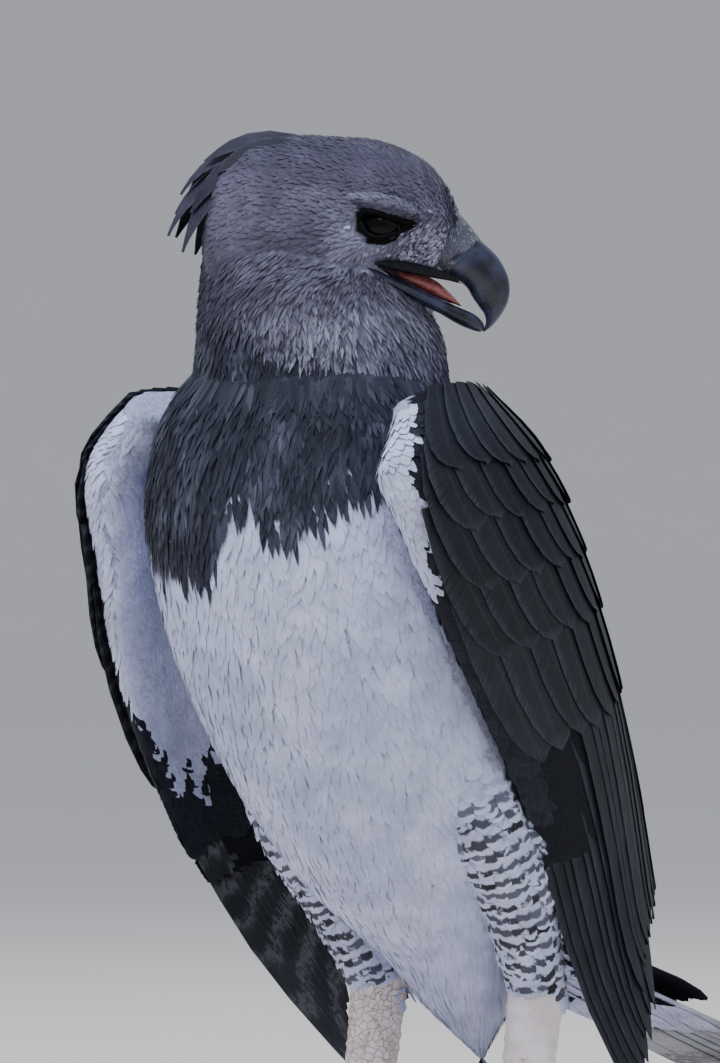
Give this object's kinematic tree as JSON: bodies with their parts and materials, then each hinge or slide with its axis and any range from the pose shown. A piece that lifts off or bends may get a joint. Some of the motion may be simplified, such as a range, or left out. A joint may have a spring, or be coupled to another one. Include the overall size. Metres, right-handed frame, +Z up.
{
  "type": "harpy eagle",
  "caption": "Life-size standing model of a harpy eagle with folded wings, crest, hooked bill, barred thighs, large clawed feet and a banded tail.",
  "frame": {"origin": "middle of the model's footprint, at floor level", "axes": "+Z up; the chest faces -Y and the tail points to +Y; the bird's left side is at +X"},
  "size_m": [0.2888, 0.6046, 0.5779],
  "materials": {
    "white_feather": "soft matt feathers",
    "grey_feather": "soft matt feathers",
    "slate_feather": "smooth feathers with a slight sheen",
    "horn": "smooth dark horn",
    "cere": "waxy skin",
    "eye": "wet and glossy",
    "tongue": "moist",
    "scaly_skin": "dry scales"
  },
  "bodies": {
    "root": {"cere": "cere", "claw_left_hind": "horn", "claw_left_inner": "horn", "claw_left_middle": "horn", "claw_left_outer": "horn", "claw_right_hind": "horn", "claw_right_inner": "horn", "claw_right_middle": "horn", "claw_right_outer": "horn", "eye_left": "eye", "eye_right": "eye", "foot_left": "scaly_skin", "foot_right": "scaly_skin", "head": "grey_feather", "lower_bill": "horn", "neck": "slate_feather", "tail": "slate_feather", "tarsus_left": "scaly_skin", "tarsus_right": "scaly_skin", "thigh_left": "white_feather", "thigh_right": "white_feather", "tongue": "tongue", "torso": "white_feather", "upper_bill": "horn", "wing_left": "slate_feather", "wing_right": "slate_feather"}
  },
  "joints": []
}
